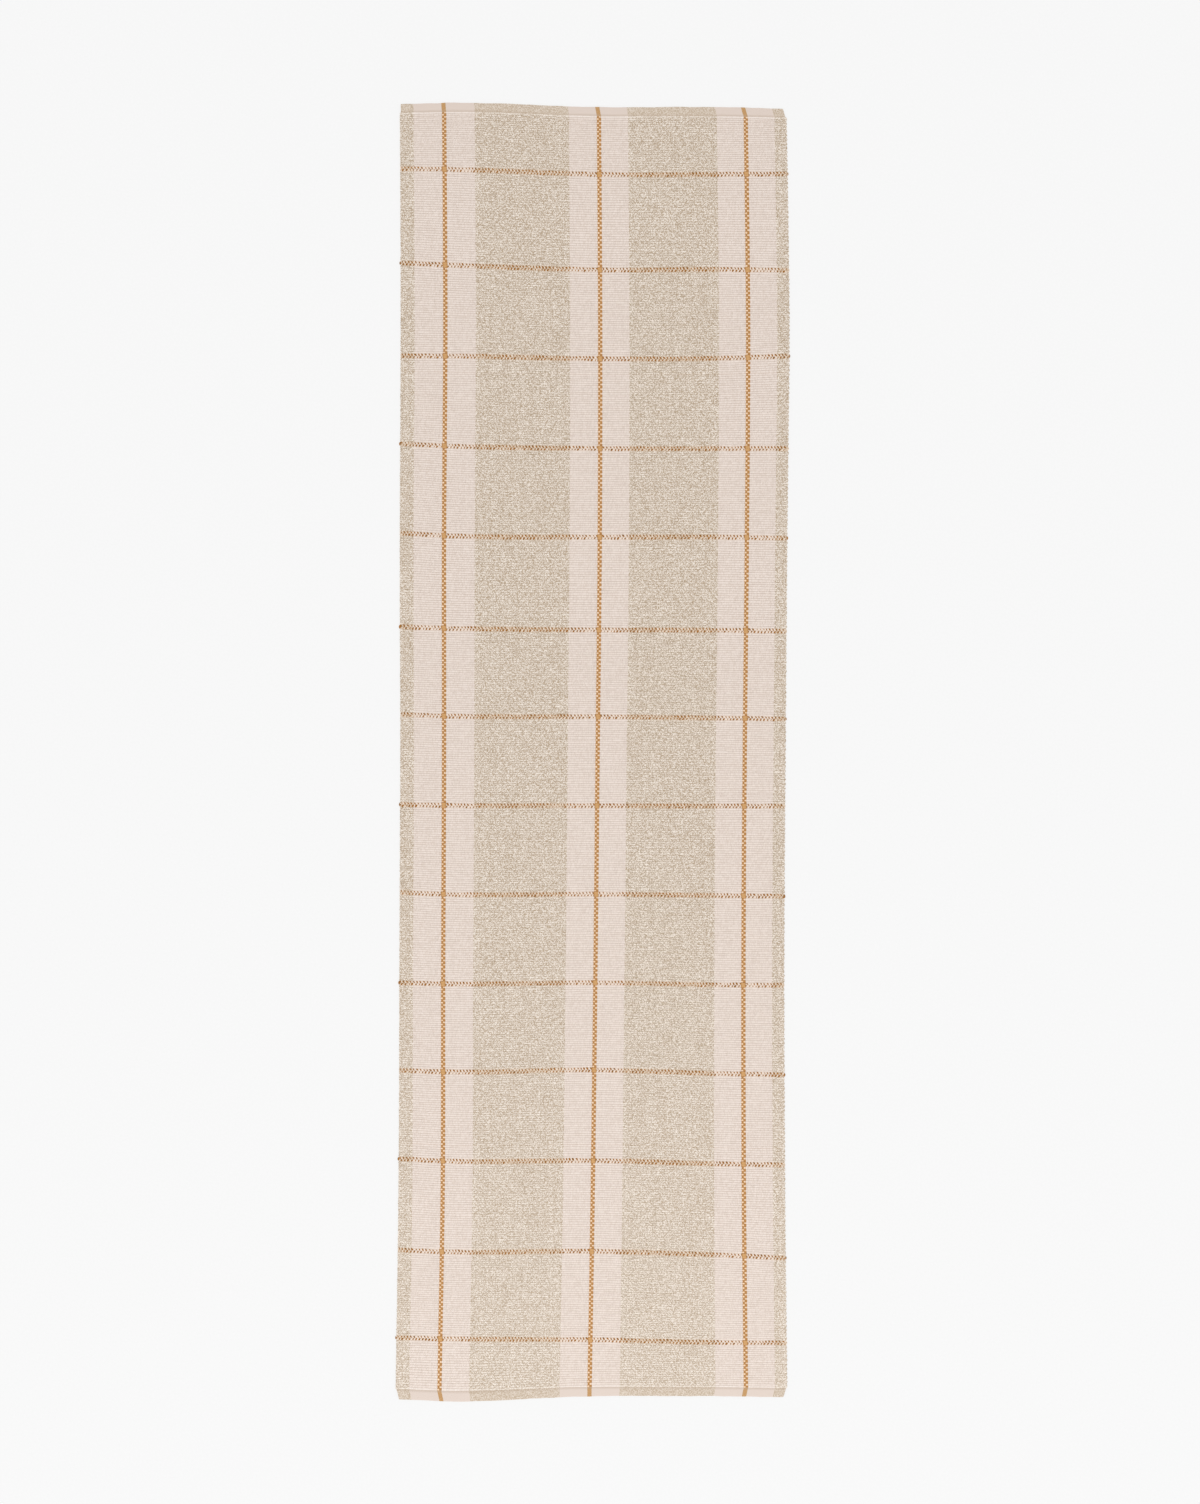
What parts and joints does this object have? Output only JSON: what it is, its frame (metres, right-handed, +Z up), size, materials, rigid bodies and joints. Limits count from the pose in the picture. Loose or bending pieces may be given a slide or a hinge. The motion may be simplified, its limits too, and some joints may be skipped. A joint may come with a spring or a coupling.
{
  "type": "table runner",
  "caption": "Ribbed woven cotton table runner with cream, oat and rust warp stripes, paired rust accent wefts and turned-under hems; both ends can be folded over.",
  "frame": {"origin": "on the surface the runner lies on, under the middle of the cloth", "axes": "+X across the width, +Y along the length towards the far end, +Z up out of the face side"},
  "size_m": [0.45, 1.5, 0.0024],
  "materials": {
    "cream_cotton": "matte warp-faced rib weave",
    "oat_cotton": "matte warp-faced rib weave with small slubs",
    "rust_warp_cotton": "matte spun yarn",
    "rust_weft_cotton": "matte spun yarn",
    "hem_cotton": "matte fine plain weave",
    "hem_thread_cotton": "mercerised sewing thread"
  },
  "bodies": {
    "main": {"oat_selvedge_left_main": "oat_cotton", "cream_outer_left_main": "cream_cotton", "rust_warp_left_main": "rust_warp_cotton", "cream_inner_left_main": "cream_cotton", "oat_field_left_main": "oat_cotton", "cream_middle_left_main": "cream_cotton", "rust_warp_middle_main": "rust_warp_cotton", "cream_middle_right_main": "cream_cotton", "oat_field_right_main": "oat_cotton", "cream_inner_right_main": "cream_cotton", "rust_warp_right_main": "rust_warp_cotton", "cream_outer_right_main": "cream_cotton", "oat_selvedge_right_main": "oat_cotton", "rust_weft_03": "rust_weft_cotton", "rust_weft_04": "rust_weft_cotton", "rust_weft_05": "rust_weft_cotton", "rust_weft_06": "rust_weft_cotton", "rust_weft_07": "rust_weft_cotton", "rust_weft_08": "rust_weft_cotton", "rust_weft_09": "rust_weft_cotton", "rust_weft_10": "rust_weft_cotton", "rust_weft_11": "rust_weft_cotton", "rust_weft_12": "rust_weft_cotton"},
    "far_end": {"oat_selvedge_left_far": "oat_cotton", "cream_outer_left_far": "cream_cotton", "rust_warp_left_far": "rust_warp_cotton", "cream_inner_left_far": "cream_cotton", "oat_field_left_far": "oat_cotton", "cream_middle_left_far": "cream_cotton", "rust_warp_middle_far": "rust_warp_cotton", "cream_middle_right_far": "cream_cotton", "oat_field_right_far": "oat_cotton", "cream_inner_right_far": "cream_cotton", "rust_warp_right_far": "rust_warp_cotton", "cream_outer_right_far": "cream_cotton", "oat_selvedge_right_far": "oat_cotton", "rust_weft_01": "rust_weft_cotton", "rust_weft_02": "rust_weft_cotton", "hem_far": "hem_cotton", "hem_thread_far": "hem_thread_cotton"},
    "near_end": {"oat_selvedge_left_near": "oat_cotton", "cream_outer_left_near": "cream_cotton", "rust_warp_left_near": "rust_warp_cotton", "cream_inner_left_near": "cream_cotton", "oat_field_left_near": "oat_cotton", "cream_middle_left_near": "cream_cotton", "rust_warp_middle_near": "rust_warp_cotton", "cream_middle_right_near": "cream_cotton", "oat_field_right_near": "oat_cotton", "cream_inner_right_near": "cream_cotton", "rust_warp_right_near": "rust_warp_cotton", "cream_outer_right_near": "cream_cotton", "oat_selvedge_right_near": "oat_cotton", "rust_weft_13": "rust_weft_cotton", "rust_weft_14": "rust_weft_cotton", "hem_near": "hem_cotton", "hem_thread_near": "hem_thread_cotton"}
  },
  "joints": [
    {"name": "far_fold", "type": "hinge", "parent": "main", "child": "far_end", "pos_m": [0, 0.4636, 0.0028], "axis": [1, 0, 0], "range_deg": [0, 180]},
    {"name": "near_fold", "type": "hinge", "parent": "main", "child": "near_end", "pos_m": [0, -0.4793, 0.0028], "axis": [-1, 0, 0], "range_deg": [0, 180]}
  ]
}
